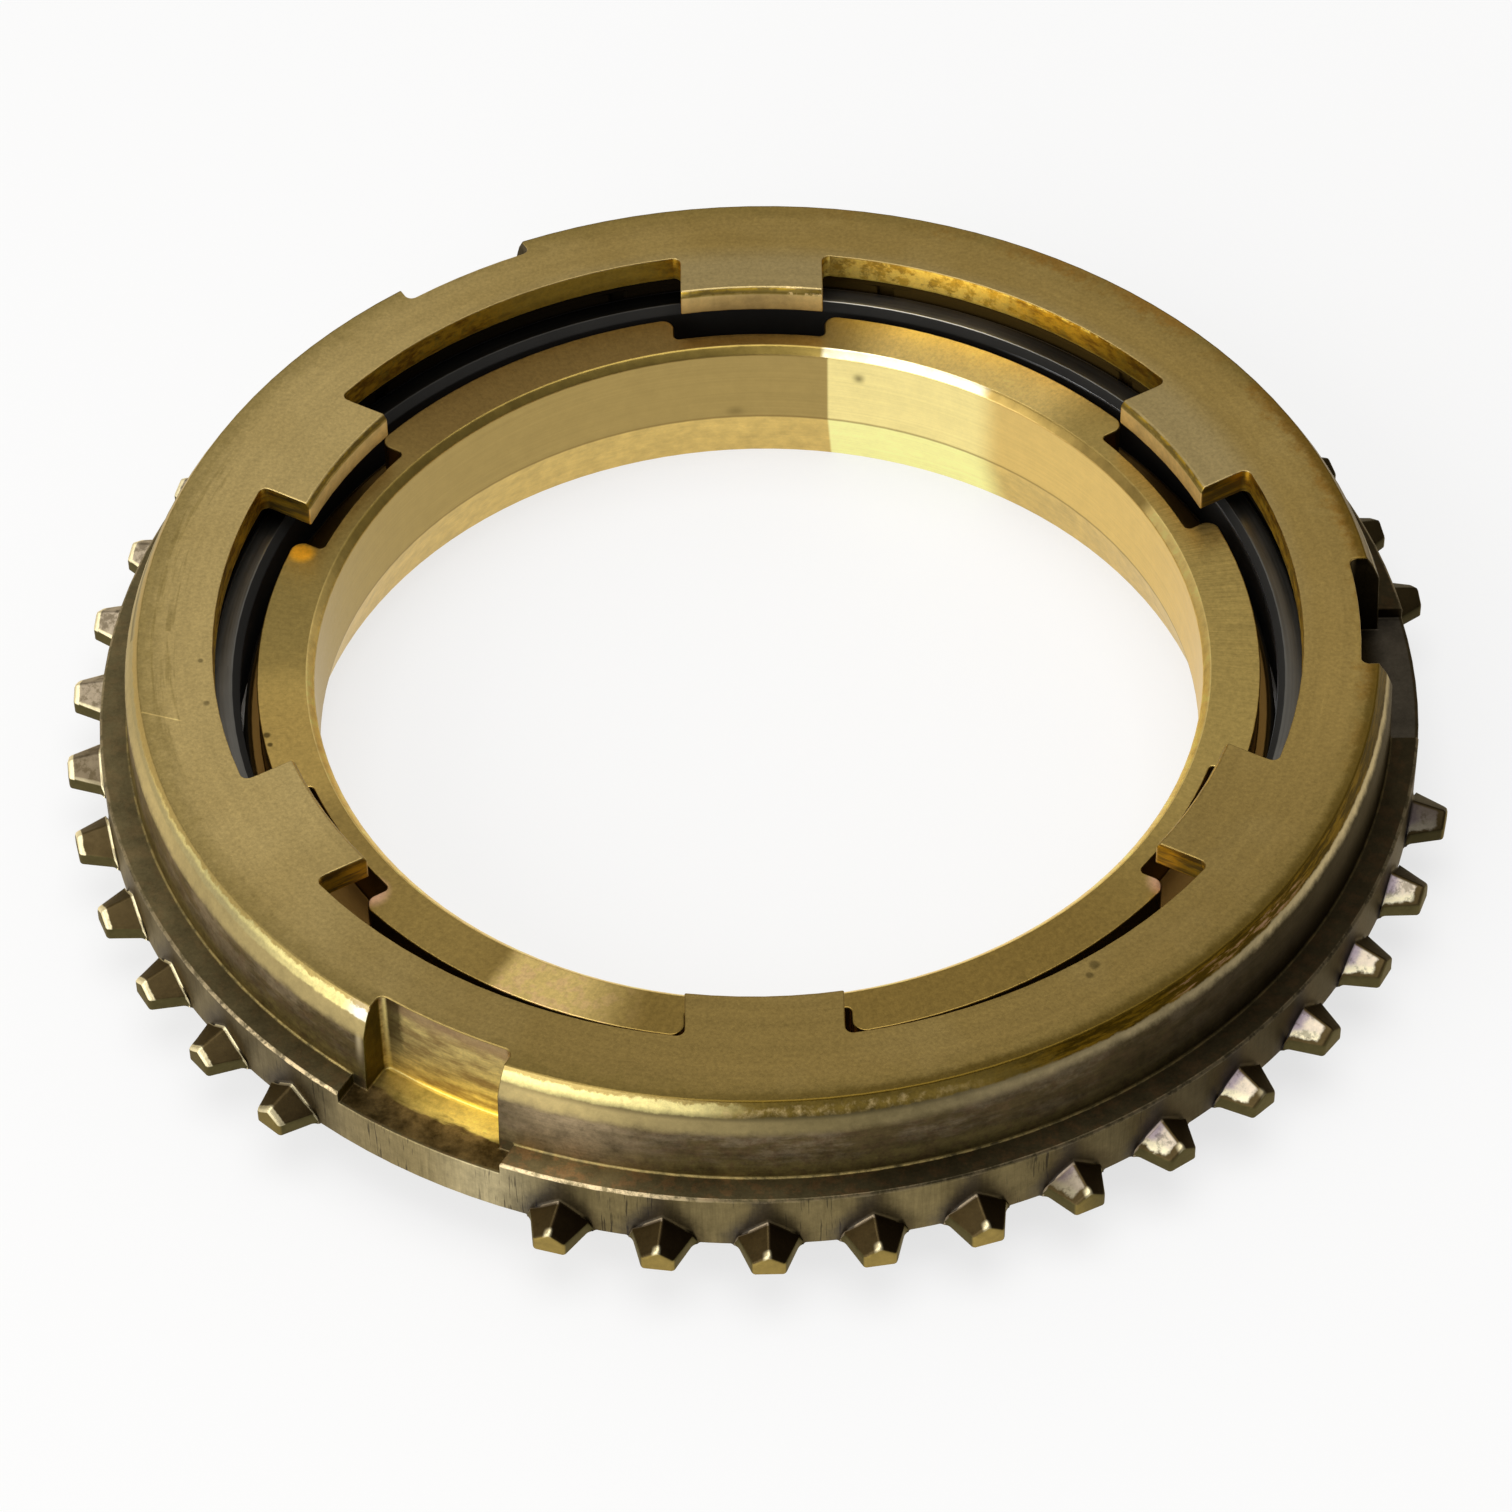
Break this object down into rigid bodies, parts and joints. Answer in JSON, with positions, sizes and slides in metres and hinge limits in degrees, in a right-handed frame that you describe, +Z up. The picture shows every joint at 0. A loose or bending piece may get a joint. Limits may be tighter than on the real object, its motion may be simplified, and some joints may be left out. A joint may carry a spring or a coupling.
{
  "type": "synchronizer ring",
  "caption": "Dual-cone synchronizer ring set: a toothed brass blocker ring over a steel cone ring and a brass inner cone ring, with key slots in the rim and tabs between open windows.",
  "frame": {"origin": "on the common axis of the three rings, in the plane that the set stands on", "axes": "+Z up along the common axis, out of the blocker ring's top face, which faces the hub; +X through the middle of one key slot"},
  "size_m": [0.1072, 0.1084, 0.0168],
  "materials": {
    "brass_blocker": "machined, tarnished on the outer wall and worn bright along its edges",
    "dark_steel": "ground, dark and oiled",
    "brass_inner": "machined, bright in the bore"
  },
  "bodies": {
    "cone_body": {"cone_ring": "dark_steel"},
    "blocker_body": {"blocker_ring": "brass_blocker"},
    "inner_body": {"inner_ring": "brass_inner"}
  },
  "joints": [
    {"name": "blocker_ring_spin", "type": "hinge", "parent": "cone_body", "child": "blocker_body", "pos_m": [0, 0, 0], "axis": [0, 0, 1], "continuous": true},
    {"name": "inner_ring_lift", "type": "slide", "parent": "blocker_body", "child": "inner_body", "axis": [0, 0, 1], "range_m": [0, 0.0035]}
  ]
}
